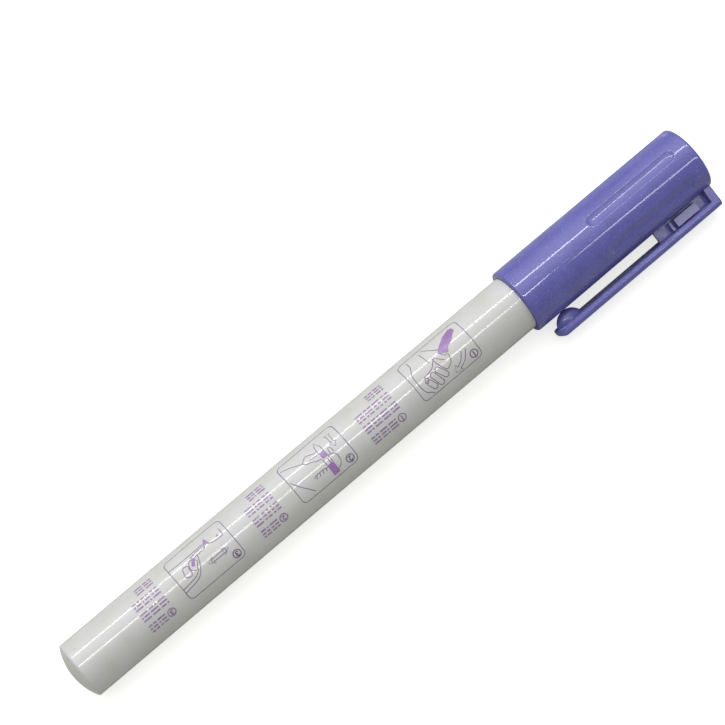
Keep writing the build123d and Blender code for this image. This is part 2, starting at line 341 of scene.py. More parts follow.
# Printed steps: three framed drawings, each with rows of small print beside it, screen-printed
# round the barrel. They read with the cap to the left. The rows stand for words and hold none.
print_angle = math.radians(8.6)
ink_thickness = 0.000014
line_width = 0.00016
ring_width = 0.00022
frame_height = 0.00858
frame_corner = 0.0009
frames_at = ((0.03135, 0.0131), (0.0038, 0.0122), (-0.02125, 0.0121))
wrap_step = math.radians(3)
line_ink = (0.19, 0.145, 0.25, 1)
line_ink_thin = (0.32, 0.27, 0.39, 1)
violet_ink = (0.32, 0.165, 0.44, 1)
violet_ink_thin = (0.42, 0.28, 0.54, 1)
small_ink = (0.29, 0.185, 0.37, 1)
small_ink_thin = (0.42, 0.33, 0.50, 1)
numeral_ring = 0.00072
numeral_inset = 0.00125
numeral_size = 0.0014
numeral_boldness = 0.00006
row_places = (0.00355, 0.00117, -0.00103, -0.0033)
bar_places = (0.0006, 0.0, -0.0006)
bar_thickness = 0.0003
word_pitch = 0.0019
word_length = 0.00158
word_break = 0.00022
words_at = ((0.0208, (4, 4, 4, 2)), (-0.0057, (3, 3, 3, 2)), (-0.0303, (3, 3, 3, 2)))


def stroke(lines, points, closed=False, smooth=False):
    """One printed line through its points. A smooth one curves between them."""
    spline = lines.splines.new("NURBS" if smooth else "POLY")
    spline.points.add(len(points) - 1)
    for point, (across, up) in zip(spline.points, points):
        point.co = (across, up, 0, 1)
    spline.use_cyclic_u = closed
    if smooth:
        spline.order_u = 3
        spline.use_endpoint_u = not closed
        spline.resolution_u = 6


def ring(centre, radius, start=0, end=360, steps=24):
    """Points round a circle, or part of one, in degrees."""
    points = []
    for step in range(steps + 1):
        angle = math.radians(start + (end - start) * step / steps)
        points.append((centre[0] + radius * math.cos(angle), centre[1] + radius * math.sin(angle)))
    return points


def rounded_box(centre, width, height, corner, turn=0):
    """Points round a box with round corners, turned by so many degrees."""
    points = []
    for across, up, start in ((1, 1, 0), (-1, 1, 90), (-1, -1, 180), (1, -1, 270)):
        corner_at = (across * (width / 2 - corner), up * (height / 2 - corner))
        points += ring(corner_at, corner, start, start + 90, 5)
    swing = Matrix.Rotation(math.radians(turn), 2)
    return [tuple(swing @ Vector(point) + Vector(centre)) for point in points]


def new_lines(thickness):
    """An empty curve for flat line drawing, with lines of one thickness."""
    made = bpy.data.curves.new("drawn_lines", "CURVE")
    made.dimensions = "3D"
    made.bevel_depth = thickness / 2
    made.bevel_resolution = 1
    made.use_fill_caps = True
    return made


def add_drawing(bm, curve, across, up, flatten, slot_number):
    """Puts a drawn curve on the flat print sheet, with its middle at the place given."""
    holder = bpy.data.objects.new("drawing", curve)
    bpy.context.scene.collection.objects.link(holder)
    bpy.context.view_layer.update()
    drawn = bpy.data.meshes.new_from_object(holder.evaluated_get(
        bpy.context.evaluated_depsgraph_get()))
    bpy.data.objects.remove(holder)
    drawn.transform(Matrix.Translation((across, up, 0)) @ Matrix.Diagonal((1, 1, flatten, 1)))
    for polygon in drawn.polygons:
        polygon.material_index = slot_number
    bm.from_mesh(drawn)
    bpy.data.meshes.remove(drawn)


def cut_through(bm, at, facing, **more):
    """Cuts the skin wherever it meets the plane through at that faces the way given."""
    bmesh.ops.bisect_plane(bm, geom=bm.verts[:] + bm.edges[:] + bm.faces[:],
                           plane_co=at, plane_no=facing, **more)


def new_shapes():
    """An empty curve for solid printed shapes."""
    made = bpy.data.curves.new("solid_shapes", "CURVE")
    made.dimensions = "2D"
    made.fill_mode = "BOTH"
    made.extrude = ink_thickness
    return made


def arrow_head(lines, tip, towards, size):
    """An arrow head that ends at tip and points the way given in degrees."""
    swing = Matrix.Rotation(math.radians(towards), 2)
    points = [tuple(swing @ Vector(point) + Vector(tip)) for point in
              ((0, 0), (-size, size * 0.6), (-size, -size * 0.6))]
    stroke(lines, points, closed=True)


# The three drawings, in the print's own directions: across the way it reads, and up
def draw_marking(lines, shapes):
    """A hand holds the pen and draws a line on cloth."""
    stroke(shapes, [(-0.0054, -0.0026), (-0.0052, -0.0033), (-0.0046, -0.0035), (-0.0031, -0.0030),
                    (-0.0017, -0.0021), (-0.0007, -0.0014), (-0.0007, -0.0008), (-0.0020, 0.0000),
                    (-0.0026, -0.0008), (-0.0036, -0.0012)], closed=True)
    stroke(lines, [(-0.0019, 0.0036), (-0.0023, 0.0041), (-0.0008, 0.0037), (-0.0014, 0.0025),
                   (-0.0016, 0.0031)])
    for box in (((-0.0012, -0.0007), 0.0014, 0.0008, 0.00015, 122),
                ((0.0011, 0.0019), 0.0026, 0.0010, 0.00045, 116),
                ((0.0024, 0.0023), 0.0029, 0.0010, 0.00045, 106),
                ((0.0037, 0.0025), 0.0021, 0.0010, 0.00045, 112),
                ((0.0041, 0.0014), 0.0009, 0.0006, 0.0002, 60)):
        stroke(lines, rounded_box(*box), closed=True)
    for points in (
            [(-0.0046, 0.0013), (-0.0040, 0.0023), (-0.0030, 0.0032), (-0.0019, 0.0036)],
            [(-0.0037, 0.0013), (-0.0032, 0.0020), (-0.0025, 0.0027), (-0.0016, 0.0031)],
            [(-0.0017, 0.0001), (-0.0016, 0.0014), (-0.0005, 0.0020), (0.0001, 0.0022),
             (0.0004, 0.0016), (0.0008, 0.0006), (0.0010, -0.0002), (0.0009, -0.0010)],
            [(-0.0006, 0.0006), (0.0001, -0.0001), (0.0006, -0.0009)],
            [(0.0007, -0.0009), (0.0013, -0.0004), (0.0019, 0.0003), (0.0030, 0.0006),
             (0.0042, 0.0007)],
            [(0.0018, -0.0007), (0.0019, -0.0019), (0.0021, -0.0033)],
            [(-0.0009, -0.0015), (-0.0002, -0.0021), (0.0006, -0.0029), (0.0015, -0.0037)],
            [(0.0042, 0.0041), (0.0044, 0.0036), (0.0052, 0.0032), (0.0056, 0.0024),
             (0.0057, 0.0010), (0.0056, -0.0008), (0.0050, -0.0018), (0.0046, -0.0026),
             (0.0047, -0.0036)]):
        stroke(lines, points, smooth=True)


def draw_fading(lines, shapes):
    """A second pen is held upright, and its tip takes the line off the cloth."""
    for box in (((-0.0016, 0.0026), 0.0013, 0.0022, 0.00008),
                ((-0.0017, -0.0004), 0.00105, 0.0012, 0.00008)):
        stroke(shapes, rounded_box(*box), closed=True)
    for points in (
            [(-0.0022, 0.0015), (-0.0022, -0.0020), (-0.0017, -0.0032), (-0.0013, -0.0025),
             (-0.0011, -0.0009)],
            [(-0.0010, 0.0015), (-0.0010, 0.0002)],
            [(-0.0018, 0.0015), (-0.0018, 0.0006)],
            [(-0.0046, -0.0011), (-0.0046, -0.0027), (-0.0050, -0.0029), (-0.0036, -0.0029),
             (-0.0040, -0.0027), (-0.0040, -0.0011)]):
        stroke(lines, points)
    stroke(lines, [(-0.0050, -0.0011), (-0.0043, -0.0002), (-0.0036, -0.0011)], closed=True)
    for points in (
            [(-0.0010, 0.0000), (0.0000, -0.0002), (0.0006, -0.0007), (0.0016, -0.0009),
             (0.0020, -0.0014)],
            [(-0.0008, -0.0010), (0.0001, -0.0011), (0.0009, -0.0013)],
            [(-0.0010, -0.0015), (-0.0001, -0.0018), (0.0008, -0.0023), (0.0015, -0.0020),
             (0.0020, -0.0015)],
            [(0.0020, -0.0015), (0.0032, -0.0020), (0.0044, -0.0027), (0.0058, -0.0031)],
            [(-0.0023, 0.0032), (-0.0032, 0.0028), (-0.0035, 0.0019), (-0.0035, 0.0008),
             (-0.0030, 0.0004), (-0.0023, 0.0002)],
            [(-0.0034, 0.0003), (-0.0035, -0.0005), (-0.0031, -0.0009), (-0.0027, -0.0004),
             (-0.0028, 0.0002)],
            [(-0.0009, 0.0018), (-0.0001, 0.0015), (0.0007, 0.0016), (0.0015, 0.0015),
             (0.0021, 0.0018)],
            [(0.0032, 0.0036), (0.0042, 0.0022), (0.0051, 0.0011), (0.0058, -0.0003)]):
        stroke(lines, points, smooth=True)
    for tick in range(4):
        across = -0.0006 + tick * 0.0007
        stroke(lines, [(across, 0.0016), (across + 0.00025, 0.0022)])


def draw_storing(lines, shapes):
    """The pen is turned about in the hand, and its cap goes back on."""
    stroke(shapes, rounded_box((0.0018, -0.0007), 0.0015, 0.0006, 0.0001, 55), closed=True)
    stroke(shapes, [(-0.0024, -0.0016), (-0.0020, -0.0030), (-0.0012, -0.0018)], closed=True)
    for box in (((0.0036, 0.0000), 0.0019, 0.0013, 0.0005, 75),
                ((0.0021, -0.0003), 0.0018, 0.0015, 0.0005, 50),
                ((0.0002, -0.0015), 0.0030, 0.00055, 0.0001, 5),
                ((-0.0022, 0.00127), 0.0030, 0.0006, 0.0001)):
        stroke(lines, rounded_box(*box), closed=True)
    for points in (
            [(0.0060, 0.0026), (0.0033, 0.0023), (0.0022, 0.0018), (0.0016, 0.0011),
             (0.0011, 0.0003), (0.0007, -0.0005), (0.0004, -0.0014)],
            [(0.0060, 0.0019), (0.0036, 0.0017), (0.0025, 0.0014), (0.0018, 0.0008)],
            [(-0.0051, -0.0010), (-0.0029, -0.0010), (-0.0021, -0.0016)],
            [(-0.0013, -0.0022), (0.0017, -0.0020), (0.0060, -0.0022)]):
        stroke(lines, points, smooth=True)
    stroke(lines, [(-0.0051, -0.0012), (-0.0051, -0.0025)])
    stroke(lines, ring((-0.0042, -0.0016), 0.00015, steps=8)[:-1], closed=True)
    arrow_head(lines, (-0.0043, 0.00127), 180, 0.0011)
    arrow_head(lines, (0.0000, 0.00127), 0, 0.0011)


sheet = bmesh.new()
flat_line = ink_thickness / (line_width / 2)
drawings = (draw_marking, draw_fading, draw_storing)
for (centre_x, width), draw in zip(frames_at, drawings):
    lines = new_lines(line_width)
    stroke(lines, rounded_box((0, 0), width, frame_height, frame_corner), closed=True)
    shapes = new_shapes()
    draw(lines, shapes)
    add_drawing(sheet, lines, -centre_x, 0, flat_line, 0)
    add_drawing(sheet, shapes, -centre_x, 0, 1, 1)

# The small print: words stand in rows, each as three short bars, some of them broken in two. The
# first place of the first row is left for the step's number.
random.seed(7)
for start_x, words_in_rows in words_at:
    for row, (row_up, words) in enumerate(zip(row_places, words_in_rows)):
        for word in range(1 if row == 0 else 0, words):
            for bar_up in bar_places:
                break_at = random.uniform(0.25, 0.75) * word_length
                gap = random.choice((0.0, 1.0, 1.0)) * word_break
                for bar_start, bar_end in ((0, break_at - gap / 2), (break_at + gap / 2, word_length)):
                    middle = word * word_pitch + (bar_start + bar_end) / 2 - start_x
                    place = Matrix.Translation((middle, row_up + bar_up, 0))
                    size = Matrix.Diagonal((bar_end - bar_start, bar_thickness, 2 * ink_thickness, 1))
                    made = bmesh.ops.create_cube(sheet, size=1, matrix=place @ size)
                    for face in {face for vert in made["verts"] for face in vert.link_faces}:
                        face.material_index = 2

# The number of each step, in a ring, in its frame's corner and at the head of its rows
for number, ((centre_x, width), (start_x, words)) in enumerate(zip(frames_at, words_at), start=1):
    corner_across = numeral_inset - width / 2 - centre_x
    head_across = word_length / 2 - start_x
    for across, up, slot_number in ((corner_across, frame_height / 2 - numeral_inset, 0),
                                    (head_across, row_places[0], 2)):
        lines = new_lines(ring_width)
        stroke(lines, ring((0, 0), numeral_ring)[:-1], closed=True)
        add_drawing(sheet, lines, across, up, flat_line, slot_number)
        numeral = bpy.data.curves.new("numeral", "FONT")
        numeral.body = str(number)
        numeral.size = numeral_size
        numeral.align_x = "CENTER"
        numeral.align_y = "CENTER"
        numeral.extrude = ink_thickness
        numeral.offset = numeral_boldness
        add_drawing(sheet, numeral, across, up, 1, slot_number)

# The flat sheet is cut into narrow strips, so that it bends smoothly, and wrapped on the barrel
wraps = math.ceil(frame_height / 2 / (barrel_radius * wrap_step))
for cut in range(-wraps, wraps + 1):
    cut_through(sheet, (0, cut * wrap_step * barrel_radius, 0), (0, 1, 0))
for vert in sheet.verts:
    angle = print_angle + vert.co.y / barrel_radius
    height = barrel_radius + vert.co.z
    vert.co = (-vert.co.x, -height * math.sin(angle), height * math.cos(angle))

# Screen-printing ink: nearly matt, slightly uneven in density, and thinner where it has rubbed
inks = []
for name, full, thin in (("line_ink", line_ink, line_ink_thin),
                         ("violet_ink", violet_ink, violet_ink_thin),
                         ("small_ink", small_ink, small_ink_thin)):
    ink, tree, shader = new_material(name, IOR=1.5)
    place = own_place(tree)
    density = noise(tree, place, 2600.0, 3.0)
    rubs = noise(tree, place, 500.0, 4.0)
    thinness = sum_of(tree, "MULTIPLY", band(tree, density, 0.35, 0.65), band(tree, rubs, 0.4, 0.65))
    tree.links.new(tinted(tree, thinness, full, thin), shader.inputs["Base Color"])
    tree.links.new(band(tree, density, 0.3, 0.7, 0.22, 0.38), shader.inputs["Roughness"])
    raise_surface(tree, shader, density, 0.000003)
    inks.append(ink)

printed_steps = finished("printed_steps", sheet, *inks)
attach(printed_steps, "barrel")


# Nib holder: a white plug pressed into the barrel's open end. Outside it are a flange, a seat with
# a low bead that the cap's liner seals on, a cone and a nose with air grooves beside the nib.
holder_low, holder_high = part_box("front_section")
flange_x = barrel_end_x + 0.001
flange_radius = 0.00495
seal_radius = 0.00452
seal_end_x = barrel_end_x + 0.0065
bead_x = flange_x + 0.0026
bead_height = 0.00008
bead_half_length = 0.0006
nose_x = seal_end_x + 0.009
nose_radius = 0.0019
nose_tip_radius = 0.00165
nib_hole_radius = 0.00097
plug_inner_radius = 0.0033
funnel_x = barrel_end_x + 0.006
vent_reach = 0.00035
vent_half_angle = math.radians(12)
holder_white = (0.74, 0.74, 0.73, 1)
holder_aged = (0.70, 0.69, 0.66, 1)
ink_trace = (0.45, 0.34, 0.58, 1)

bm = outline(
    [
        (holder_high.x, nib_hole_radius), (funnel_x, nib_hole_radius),
        (barrel_end_x, plug_inner_radius), (holder_low.x, plug_inner_radius),
        (holder_low.x, bore_radius), (barrel_end_x, bore_radius),
        (barrel_end_x, flange_radius), (flange_x, flange_radius), (flange_x, seal_radius),
        (bead_x - bead_half_length, seal_radius), (bead_x, seal_radius + bead_height),
        (bead_x + bead_half_length, seal_radius), (seal_end_x, seal_radius),
        (nose_x, nose_radius), (holder_high.x, nose_tip_radius),
    ],
    rounds=((14, 0.0003, 6), (13, 0.0006, 5), (12, 0.0007, 6), (11, 0.0003, 3), (10, 0.0003, 4),
            (9, 0.0003, 3), (8, 0.00012, 3), (7, 0.00012, 4), (6, 0.00012, 4)),
    closed=True,
)
spin_round(bm, 120)
for vert in bm.verts:
    around = math.atan2(vert.co.y, vert.co.z) % (math.tau / 3)
    from_vent = min(around, math.tau / 3 - around)
    radius = math.hypot(vert.co.y, vert.co.z)
    if abs(radius - nib_hole_radius) < 1e-6 and from_vent < vent_half_angle:
        widen = (nib_hole_radius + vent_reach) / nib_hole_radius
        vert.co.y *= widen
        vert.co.z *= widen

holder_plastic, tree, shader = new_material("nib_holder_plastic", IOR=1.5)
skin = use_effect(tree, moulded, Roughness=0.2, Peel=2200.0)
specks = use_effect(tree, dust, Spacing=800.0, Size=0.05, Share=0.15)
along = add_node(tree, "SeparateXYZ", Vector=own_place(tree))
near_nib = band(tree, along.outputs["X"], nose_x, holder_high.x)
stained = sum_of(tree, "MULTIPLY", near_nib, skin["Cloud"])
colour = tinted(tree, skin["Cloud"], holder_white, holder_aged)
colour = tinted(tree, stained, colour, ink_trace)
colour = tinted(tree, specks["Specks"], colour, speck_grey)
tree.links.new(colour, shader.inputs["Base Color"])
tree.links.new(skin["Roughness"], shader.inputs["Roughness"])
raise_surface(tree, shader, skin["Height"], 0.00001)

nib_holder = finished("nib_holder", bm, holder_plastic)
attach(nib_holder, "barrel")
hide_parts("front_section")


# Nib: a rod of bonded fibre with a ground bullet tip. Its rear end is pushed into the reservoir,
# and capillary action keeps it wet, so it is the colour of the ink.
nib_low, nib_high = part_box("nib")
nib_radius = nib_high.z
nib_rear_radius = 0.00065
nib_rear_taper = 0.0006
nib_taper = 0.0015
nib_tip_flat = 0.00025
taper_steps = 10
nib_wet = (0.20, 0.08, 0.36, 1)
nib_dry = (0.42, 0.27, 0.60, 1)

tip_points = []
for step in range(taper_steps + 1):
    share = step / taper_steps
    radius = nib_radius * math.sqrt(1 - share**2)
    tip_points.append((nib_high.x - nib_taper * (1 - share), max(radius, nib_tip_flat)))
bm = outline([(nib_low.x, 0), (nib_low.x, nib_rear_radius), (nib_low.x + nib_rear_taper, nib_radius)]
             + tip_points + [(nib_high.x, 0)])
spin_round(bm, 64)

nib_fibre, tree, shader = new_material("nib_fibre", Sheen_Weight=0.15, Sheen_Roughness=0.5)
bundle = use_effect(tree, fibres, Along=150.0, Across=7000.0)
tree.links.new(tinted(tree, bundle["Stain"], nib_wet, nib_dry), shader.inputs["Base Color"])
tree.links.new(band(tree, bundle["Height"], 0.3, 0.7, 0.45, 0.75), shader.inputs["Roughness"])
raise_surface(tree, shader, bundle["Height"], 0.00003)

nib_rod = finished("nib_rod", bm, nib_fibre)
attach(nib_rod, "barrel")
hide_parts("nib")


# Inner cap: a soft milky liner pushed up into the cap. Its bore closes on the nib holder's seat,
# its narrow end holds the air round the nib, and thin fins keep that end in the cap's middle.
liner_low, liner_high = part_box("inner_cap")
liner_radius = 0.0050
liner_bore_radius = 0.00462
liner_cone_x = seal_end_x + 0.0005
liner_shoulder_x = seal_end_x + 0.002
liner_neck_x = nose_x + 0.0005
liner_neck_radius = 0.0033
liner_neck_bore = 0.0025
fin_start_x = liner_neck_x + 0.001
fin_half_width = 0.00035
liner_end_wall = 0.0011
liner_milk = (0.70, 0.70, 0.68, 1)
liner_shade = (0.62, 0.61, 0.60, 1)



def join_in(bm, part):
    """Adds the part's skin to bm, and lets go of the part."""
    holder = bpy.data.meshes.new("part")
    part.to_mesh(holder)
    part.free()
    bm.from_mesh(holder)
    bpy.data.meshes.remove(holder)


bm = outline(
    [
        (liner_low.x, liner_bore_radius), (liner_cone_x, liner_bore_radius),
        (liner_neck_x, liner_neck_bore), (liner_high.x - liner_end_wall, liner_neck_bore),
        (liner_high.x - liner_end_wall, 0),
    ],
    rounds=((3, 0.0006, 5), (2, 0.0005, 4), (1, 0.0005, 4)),
)
bmesh.ops.spin(bm, geom=bm.verts[:] + bm.edges[:], cent=(0, 0, 0), axis=(1, 0, 0),
               angle=math.tau, steps=120, use_merge=True)
outside = outline(
    [
        (liner_low.x, liner_bore_radius), (liner_low.x, liner_radius),
        (liner_shoulder_x, liner_radius), (fin_start_x, liner_neck_radius),
        (liner_high.x, liner_neck_radius), (liner_high.x, 0),
    ],
    rounds=((4, 0.0003, 4), (3, 0.0006, 4), (2, 0.0005, 4), (1, 0.00012, 3)),
)
spin_round(outside, 120)
join_in(bm, outside)
bmesh.ops.remove_doubles(bm, verts=bm.verts, dist=1e-7)
bmesh.ops.recalc_face_normals(bm, faces=bm.faces)
for fin in range(6):
    add_bar(bm, (fin_start_x, -fin_half_width, liner_neck_radius - 0.0003),
            (liner_high.x, fin_half_width, liner_radius - 0.00002), fin * math.tau / 6)

liner_plastic, tree, shader = new_material("liner_plastic", IOR=1.51, Subsurface_Weight=0.25,
                                           Subsurface_Radius=(0.001, 0.001, 0.001))
skin = use_effect(tree, moulded, Roughness=0.38, Peel=2600.0)
tree.links.new(tinted(tree, skin["Cloud"], liner_milk, liner_shade), shader.inputs["Base Color"])
tree.links.new(skin["Roughness"], shader.inputs["Roughness"])
raise_surface(tree, shader, skin["Height"], 0.00001)

cap_liner = finished("cap_liner", bm, liner_plastic)
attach(cap_liner, "liner")
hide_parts("inner_cap")


# Cap: a violet moulded shell with a rounded lip and a flat top. Shallow scoops with round ends,
# for grip, lie on every sixth of the way round, apart from the sixth that the clip grows from.
cap_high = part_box("cap_shell")[1]
top_x = cap_high.x
cap_radius = cap_high.z
cap_top_radius = cap_radius - 0.00005
flex_joint = next(joint for joint in frame["joints"] if joint["name"] == "clip_flex")
clip_turn = math.atan2(-flex_joint["pos_m"][1], flex_joint["pos_m"][2])
panel_middle_x = mouth_x + 0.0273
panel_straight = 0.0088
panel_half_width = 0.00122
panel_depth = 0.00037
scoop_edge = 0.00112
scoop_slope = 2 * panel_depth * scoop_edge / panel_half_width**2
rim_rounding = 2 * panel_depth * (1 - (scoop_edge / panel_half_width)**2) / scoop_slope
field_half_width = cap_radius * math.radians(30)
arc_steps = 36
lip_round = 0.00035
lip_lead_in = 0.00012
top_round = 0.0005
cap_bore_radius = 0.0052
cap_step_x = barrel_end_x + 0.0003
cap_inner_radius = 0.00505
cap_ceiling_x = top_x - 0.0014
cap_violet = (0.134, 0.134, 0.460, 1)
cap_deep = (0.116, 0.115, 0.415, 1)
# Paler violet for rubbed edges, and also for the painted glints
cap_rubbed_and_glint = (0.27, 0.26, 0.57, 1)
cap_fleck = (0.46, 0.44, 0.74, 1)


def panel_spine(point):
    """The nearest point on the line between the centres of the panel's round ends."""
    return Vector((max(-panel_straight, min(panel_straight, point.x)), 0, 0))


def extrude_loop(bm, loop, place):
    """Extrudes a loop of edges, and moves each new point to where place says."""
    made = bmesh.ops.extrude_edge_only(bm, edges=loop)["geom"]
    for vert in made:
        if isinstance(vert, bmesh.types.BMVert):
            vert.co = place(vert)
    return [edge for edge in made if isinstance(edge, bmesh.types.BMEdge)]


# One sixth of the skin, flat: x along the cap, y across, and z down from 0 at the skin. It starts
# as the scoop's outline, a half circle and its mirror image.
bm = bmesh.new()
rim_half_width = scoop_edge + rim_rounding
first = bm.verts.new((panel_straight, -rim_half_width, 0))
bmesh.ops.spin(bm, geom=[first], cent=(panel_straight, 0, 0), axis=(0, 0, 1), angle=math.pi,
               steps=arc_steps)
bmesh.ops.mirror(bm, geom=bm.verts[:] + bm.edges[:], axis="X", merge_dist=0.0)
sides = []
for side in (-1, 1):
    ends = [vert for vert in bm.verts if abs(vert.co.y - side * rim_half_width) < 1e-7]
    sides.append(bm.edges.new(ends))
bmesh.ops.subdivide_edges(bm, edges=sides, cuts=13)
rim = bm.edges[:]


def towards_panel(half_width, depth):
    """Where a point of a loop goes: half_width from the scoop's spine, and depth below the skin."""
    def place(vert):
        spine = panel_spine(vert.co)
        outwards = (vert.co - spine) * Vector((1, 1, 0))
        inside = spine + outwards.normalized() * half_width
        return Vector((inside.x, inside.y, -depth))
    return place


def towards_field(share):
    """Where a point of a loop goes: that share of the way from the panel's rim to its field's edge."""
    def place(vert):
        spine = panel_spine(vert.co)
        outwards = (vert.co - spine).normalized()
        edge = field_half_width / max(abs(outwards.x), abs(outwards.y))
        return spine + outwards * (rim_half_width + (edge - rim_half_width) * share)
    return place


loop = rim
for share in (0.06, 0.25, 0.5, 0.75, 1.0):
    loop = extrude_loop(bm, loop, towards_field(share))
loop = rim
for step in range(1, 7):
    share = step / 6
    loop = extrude_loop(bm, loop, towards_panel(
        rim_half_width - rim_rounding * share, scoop_slope * rim_rounding * share**2 / 2))
for step in range(1, 9):
    half_width = scoop_edge * (1 - step / 8)
    loop = extrude_loop(bm, loop, towards_panel(
        half_width, panel_depth * (1 - (half_width / panel_half_width)**2)))
bmesh.ops.remove_doubles(bm, verts=bm.verts, dist=1e-7)

# Six of them side by side, the first one plain, are wrapped round into the cap's skin
plain = bm.verts[:]
one_sixth = bm.verts[:] + bm.edges[:] + bm.faces[:]
for turn in range(1, 6):
    copied = bmesh.ops.duplicate(bm, geom=one_sixth)["geom"]
    bmesh.ops.translate(bm, vec=(0, turn * 2 * field_half_width, 0),
                        verts=[vert for vert in copied if isinstance(vert, bmesh.types.BMVert)])
for vert in plain:
    vert.co.z = 0
for vert in bm.verts:
    x = panel_middle_x + vert.co.x
    angle = clip_turn + vert.co.y / cap_radius
    skin_radius = cap_radius + (cap_top_radius - cap_radius) * (x - mouth_x) / (top_x - mouth_x)
    radius = skin_radius + vert.co.z
    vert.co = (x, -radius * math.sin(angle), radius * math.cos(angle))
bmesh.ops.remove_doubles(bm, verts=bm.verts, dist=1e-6)


def extrude_rings(bm, ring_edges, stations):
    """Extrudes a ring of edges through stations of (x, radius), turned about the pen's axis."""
    for x, radius in stations:
        def place(vert):
            outwards = Vector((0, vert.co.y, vert.co.z)).normalized()
            return Vector((x, 0, 0)) + outwards * radius
        ring_edges = extrude_loop(bm, ring_edges, place)


def edge_ring(bm, x):
    """The open edges of the skin at x."""
    return [edge for edge in bm.edges if edge.is_boundary
            and all(abs(vert.co.x - x) < 1e-6 for vert in edge.verts)]


panels_end = panel_straight + field_half_width
lip_stations = [(mouth_x + offset, cap_radius) for offset in (0.0121, 0.0091, 0.0061, 0.0031, 0.0006)]
for step in range(9):
    angle = math.radians(step * 11.25)
    lip_stations.append((mouth_x + lip_round * (1 - math.sin(angle)),
                         cap_radius - lip_round * (1 - math.cos(angle))))
for step in range(5):
    angle = math.radians(step * 22.5)
    lip_stations.append((mouth_x + lip_lead_in * (1 - math.cos(angle)),
                         cap_bore_radius + lip_lead_in * (1 - math.sin(angle))))
lip_stations += [(mouth_x + 0.006, cap_bore_radius), (cap_step_x, cap_bore_radius),
                 (cap_step_x, cap_inner_radius), (mouth_x + 0.026, cap_inner_radius),
                 (cap_ceiling_x, cap_inner_radius), (cap_ceiling_x, 0)]
extrude_rings(bm, edge_ring(bm, panel_middle_x - panels_end), lip_stations)
top_stations = []
for step in range(9):
    angle = math.radians(step * 11.25)
    top_stations.append((top_x - top_round * (1 - math.sin(angle)),
                         cap_top_radius - top_round * (1 - math.cos(angle))))
top_stations += [(top_x, 0.0054), (top_x, 0.003), (top_x, 0)]
extrude_rings(bm, edge_ring(bm, panel_middle_x + panels_end), top_stations)
bmesh.ops.remove_doubles(bm, verts=bm.verts, dist=1e-7)
bmesh.ops.recalc_face_normals(bm, faces=bm.faces)



def violet_plastic(name, roughness):
    """The cap's plastic, polished to the given roughness by that part of the mould."""
    plastic, tree, shader = new_material(name, IOR=1.52)
    skin = use_effect(tree, moulded, Roughness=roughness, Peel=1300.0)
    wear = use_effect(tree, worn, Start=0.53, End=0.62)
    specks = use_effect(tree, dust, Spacing=1500.0, Size=0.10, Share=0.3)
    # Painted glints: fine pale flecks in the colour stand in for light sparkling off the plastic
    glint_pattern = noise(tree, own_place(tree), 4200.0, 2.0, Roughness=0.7)
    painted_glint = band(tree, glint_pattern, 0.52, 0.74, 0.0, 0.55)
    colour = tinted(tree, skin["Cloud"], cap_violet, cap_deep)
    colour = tinted(tree, painted_glint, colour, cap_rubbed_and_glint)
    colour = tinted(tree, wear["Wear"], colour, cap_rubbed_and_glint)
    colour = tinted(tree, specks["Specks"], colour, cap_fleck)
    tree.links.new(colour, shader.inputs["Base Color"])
    tree.links.new(skin["Roughness"], shader.inputs["Roughness"])
    raise_surface(tree, shader, skin["Height"], 0.000011)
    return plastic


cap_plastic = violet_plastic("cap_plastic", 0.07)
cap_skin = finished("cap_skin", bm, cap_plastic)
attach(cap_skin, "cap")
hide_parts("cap_shell")


# Clip: a springy bar moulded in one with the cap. It grows from an end wall and a thin web at the
# cap's top, a block and a rib stand out from the web, and a bump under its tip grips cloth.
clip_tip_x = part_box("clip")[0].x
root_end_x = mouth_x + 0.0399
end_wall = 0.0015
clip_half_width = 0.0023
clip_inner = 0.0084
clip_outer = 0.01005
outer_round = 0.0008
under_chamfer = 0.0002
tip_inner_round = 0.00035
tip_outer_round = 0.0012
tip_corner_round = 0.0016
root_edge_round = 0.0003
web_start_x = mouth_x + 0.0269
web_half_width = 0.0003
side_draft = math.tan(math.radians(3.7))
wall_slope = 0.00012
root_foot = 0.0054
block_at = (mouth_x + 0.0310, mouth_x + 0.0359)
rib_at = (mouth_x + 0.0298, mouth_x + 0.0302)
block_low = 0.0066
block_high = 0.00815
block_proud = 0.0014
# Painted sheen: the block's two paler violets stand in for the light off its flat faces
block_sheen_violet = (0.30, 0.29, 0.55, 1)
block_sheen_pale = (0.42, 0.40, 0.66, 1)
bump_x = mouth_x + 0.0056
bump_half_length = 0.0027
bump_peak = 0.0064
bump_flatness = 0.6
bump_buried = 0.0004
bend_end_x = web_start_x - 0.0059
straight_spacing = 0.0012
bend_spacing = 0.0005


def quarter(size, reach):
    """How far a round of that size has pulled a face back, at a distance reach from its end."""
    left = max(0.0, size - reach)
    return size - math.sqrt(size**2 - left**2)


# The bar's section, across and outwards: a box with round outer corners, narrow chamfers on the
# inner ones, and sides that draw in a little towards the pen
bm = bmesh.new()
corners = [bm.verts.new((clip_tip_x, across * clip_half_width, out))
           for across, out in ((-1, clip_inner), (1, clip_inner), (1, clip_outer), (-1, clip_outer))]
for first, second in zip(corners, corners[1:] + corners[:1]):
    bm.edges.new((first, second))
for corner, size, steps in zip(corners, (under_chamfer, under_chamfer, outer_round, outer_round),
                               (1, 1, 8, 8)):
    bmesh.ops.bevel(bm, geom=[corner], offset=size, offset_type="OFFSET", segments=steps,
                    profile=0.5, affect="VERTICES", material=-1)
bmesh.ops.subdivide_edges(bm, edges=[edge for edge in bm.edges if edge.calc_length() > 0.0006],
                          cuts=3)
section = bm.verts.layers.float_vector.new("section")
for vert in bm.verts:
    below_round = max(0.0, clip_outer - outer_round - vert.co.z)
    vert.co.y *= 1 - side_draft * below_round / clip_half_width
    vert[section] = vert.co


